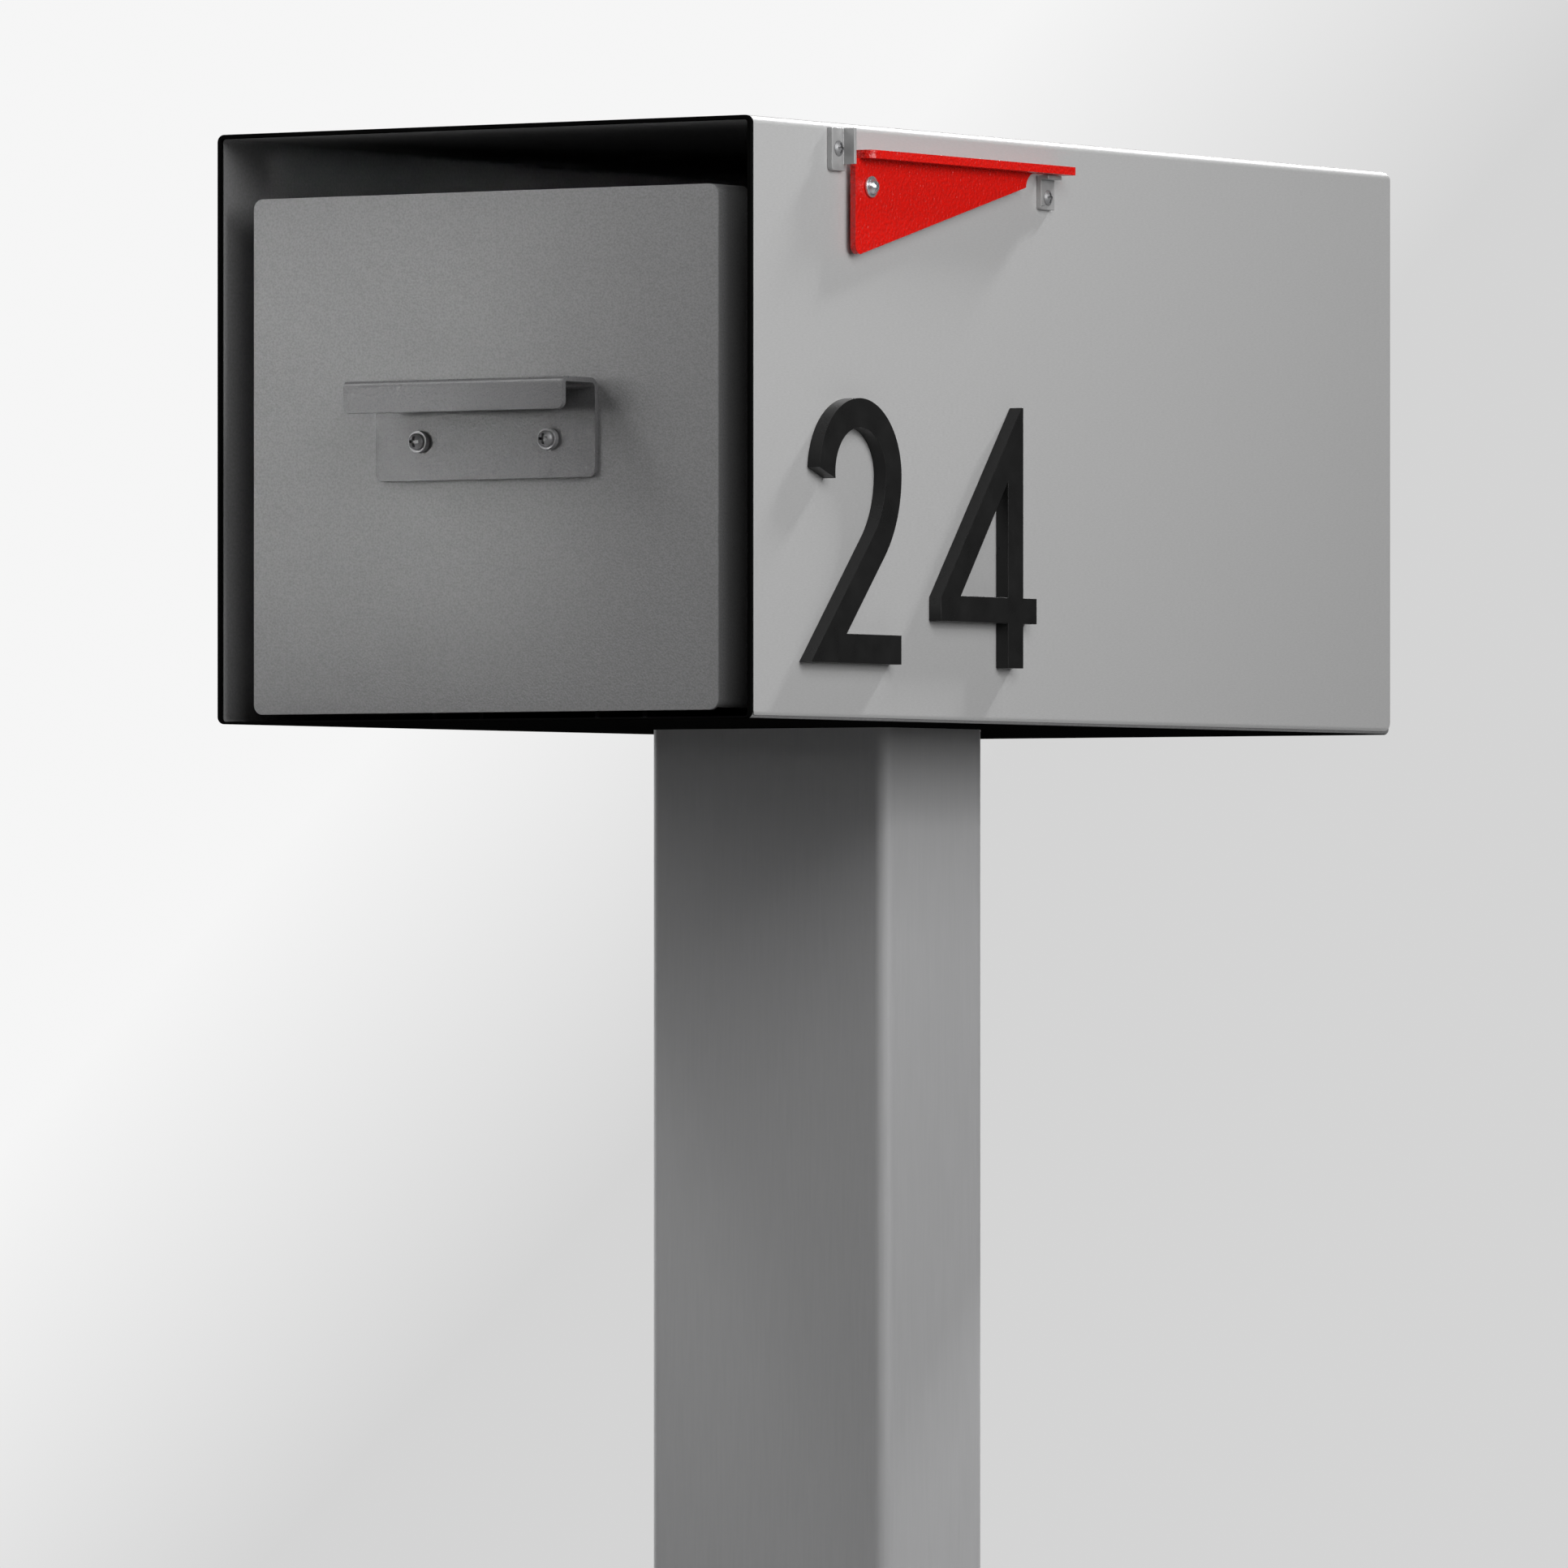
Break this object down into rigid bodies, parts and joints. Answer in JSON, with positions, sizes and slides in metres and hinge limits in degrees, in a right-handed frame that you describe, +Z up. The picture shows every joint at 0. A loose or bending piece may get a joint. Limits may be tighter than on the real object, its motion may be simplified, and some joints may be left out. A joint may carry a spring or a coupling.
{
  "type": "post-mounted mailbox",
  "caption": "Rectangular sheet-metal mailbox on a square post, with a drop-down front door, shelf handle, red signal flag and raised house number.",
  "frame": {"origin": "centre of the four anchor holes on the underside of the base plate, at ground level", "axes": "+Z up along the post, the door faces -Y, the flag and the numbers are on the +X side"},
  "size_m": [0.258, 0.4965, 1.296],
  "materials": {
    "post_paint": "satin grey paint with a faint vertical grain",
    "black_paint": "dark grey powder coat inside, matt black underneath",
    "black_coat": "satin black powder coat",
    "brushed_cover": "horizontal brushed grain",
    "trim_rubber": "matt black",
    "grey_powder": "mid-grey orange-peel powder coat",
    "handle_powder": "mid-grey orange-peel powder coat, slightly darker than the door",
    "red_powder": "bright red orange-peel powder coat",
    "black_digit": "satin black",
    "stop_zinc": "satin",
    "dull_fasteners": "dull dark grey, bright on the wear edges",
    "chrome_fasteners": "polished",
    "zinc": "zinc-plated steel, dull",
    "nylon": "natural white",
    "black_plastic": "matt",
    "magnet_iron": "dull sintered"
  },
  "bodies": {
    "root": {"base_plate": "post_paint", "post": "post_paint", "post_top_plate": "post_paint", "mounting_bolts": "zinc", "mounting_washers": "zinc", "mounting_nuts": "zinc", "sleeve": "black_paint", "outer_cover": "brushed_cover", "front_trim": "trim_rubber", "back_panel": "black_coat", "back_brackets": "zinc", "back_screws": "zinc", "mail_liner": "black_coat", "floor_rails": "zinc", "top_channel_front": "zinc", "top_channel_rear": "zinc", "side_spacers": "zinc", "hinge_leaf_body": "black_coat", "hinge_pin": "black_coat", "magnet_catch": "black_plastic", "catch_magnet": "magnet_iron", "door_bumpers": "trim_rubber", "flag_bushing": "nylon", "flag_washer": "chrome_fasteners", "flag_screw": "chrome_fasteners", "flag_nut": "zinc", "upper_stop": "stop_zinc", "lower_stop": "stop_zinc", "stop_screws": "dull_fasteners", "stop_nuts": "zinc", "digit_two": "black_digit", "digit_four": "black_digit", "digit_studs": "zinc", "digit_nuts": "zinc"},
    "door": {"door_panel": "grey_powder", "door_handle": "handle_powder", "handle_screws": "dull_fasteners", "handle_washers": "dull_fasteners", "handle_nuts": "zinc", "strike_plate": "zinc", "hinge_leaf_door": "black_coat"},
    "flag": {"flag": "red_powder"}
  },
  "joints": [
    {"name": "door_hinge", "type": "hinge", "parent": "root", "child": "door", "pos_m": [0, -0.2308, 1.0765], "axis": [1, 0, 0], "range_deg": [0, 90]},
    {"name": "flag_pivot", "type": "hinge", "parent": "root", "child": "flag", "pos_m": [0.124, -0.16, 1.2719], "axis": [1, 0, 0], "range_deg": [0, 90]}
  ]
}
